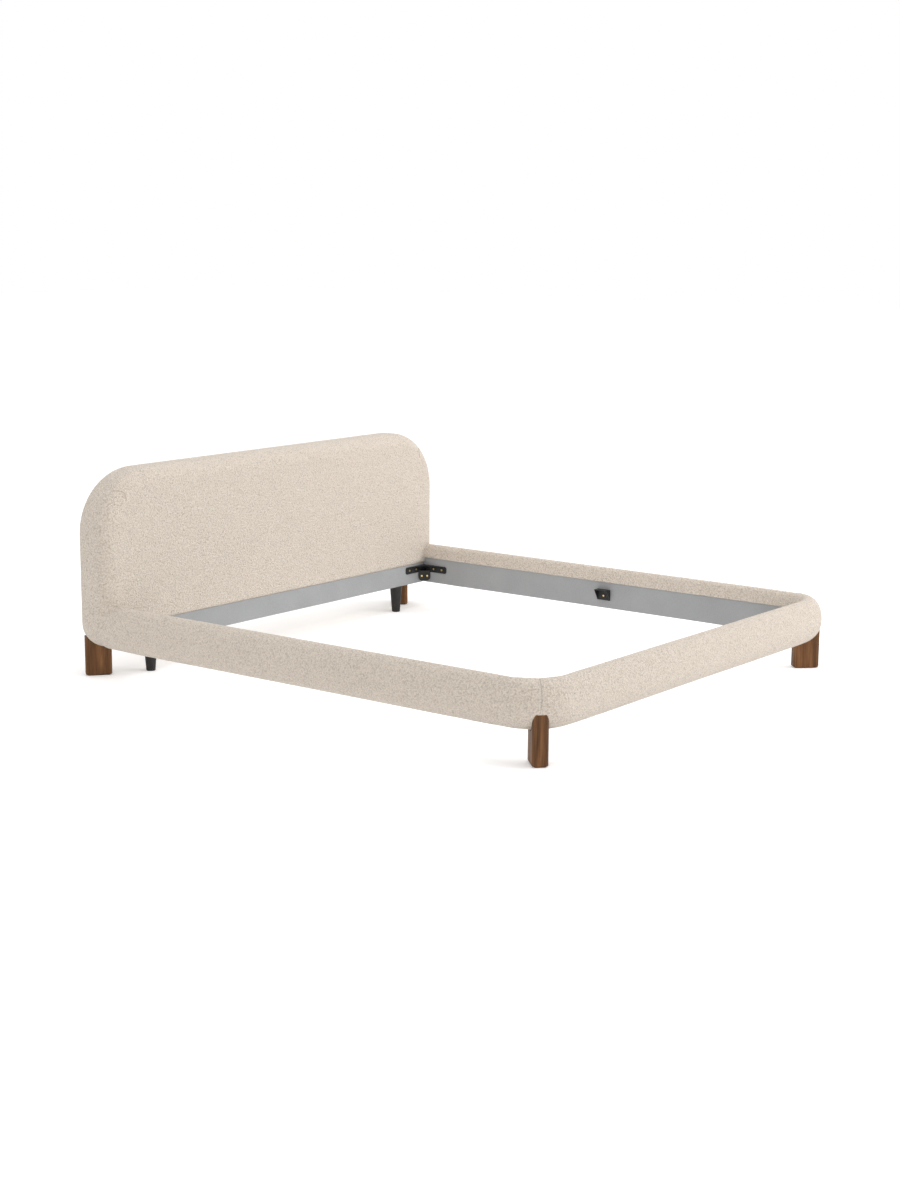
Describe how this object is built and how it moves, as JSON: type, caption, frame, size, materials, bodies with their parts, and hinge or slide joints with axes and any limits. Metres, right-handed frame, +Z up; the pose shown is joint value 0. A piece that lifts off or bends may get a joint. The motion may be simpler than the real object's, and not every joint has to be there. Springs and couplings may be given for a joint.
{
  "type": "upholstered headboard bed",
  "caption": "King-size bed frame with a tall padded headboard, padded side and foot rolls, grey-lined rails and slab wooden legs.",
  "frame": {"origin": "on the floor under the middle of the bed's outline", "axes": "+Z up, +Y towards the headboard, X across the bed"},
  "size_m": [2.127, 2.351, 0.846],
  "materials": {
    "boucle_cover": "matte looped upholstery cloth, warm beige",
    "grey_lining": "matte non-woven lining, mid grey",
    "foam": "open-cell upholstery foam",
    "frame_timber": "planed softwood, hidden in the padding",
    "plywood": "plywood and hardboard panels, hidden in the padding",
    "walnut_leg": "satin walnut stain, upright grain",
    "black_steel": "satin black powder coat",
    "black_plastic": "matte black moulding",
    "brass_screw": "yellow-passivated pan-head screws"
  },
  "bodies": {
    "root": {"corner_bracket_foot_left": "black_steel", "corner_bracket_foot_right": "black_steel", "corner_bracket_head_left": "black_steel", "corner_bracket_head_right": "black_steel", "corner_bracket_screws": "brass_screw", "corner_socket_left": "black_plastic", "corner_socket_right": "black_plastic", "corner_socket_screws": "brass_screw", "foot_corner_block_left": "frame_timber", "foot_corner_block_right": "frame_timber", "foot_rail_board": "frame_timber", "foot_rail_cover": "boucle_cover", "foot_rail_foam": "foam", "foot_rail_lining": "grey_lining", "glide_foot_left": "black_plastic", "glide_foot_right": "black_plastic", "glide_head_left": "black_plastic", "glide_head_right": "black_plastic", "headboard_back_panel": "plywood", "headboard_bottom_rail": "frame_timber", "headboard_corner_former_left": "frame_timber", "headboard_corner_former_right": "frame_timber", "headboard_cover_back": "boucle_cover", "headboard_cover_front": "boucle_cover", "headboard_foam": "foam", "headboard_front_panel": "plywood", "headboard_inner_stile_left": "frame_timber", "headboard_inner_stile_right": "frame_timber", "headboard_ledger": "frame_timber", "headboard_lining": "grey_lining", "headboard_stile_left": "frame_timber", "headboard_stile_right": "frame_timber", "headboard_top_rail": "frame_timber", "leg_foot_left": "walnut_leg", "leg_foot_right": "walnut_leg", "leg_head_left": "walnut_leg", "leg_head_right": "walnut_leg", "mid_bracket_left": "black_steel", "mid_bracket_right": "black_steel", "mid_bracket_screws": "brass_screw", "side_rail_left_board": "frame_timber", "side_rail_left_cover": "boucle_cover", "side_rail_left_foam": "foam", "side_rail_left_lining": "grey_lining", "side_rail_right_board": "frame_timber", "side_rail_right_cover": "boucle_cover", "side_rail_right_foam": "foam", "side_rail_right_lining": "grey_lining", "support_foot_left": "black_plastic", "support_foot_right": "black_plastic"}
  },
  "joints": []
}
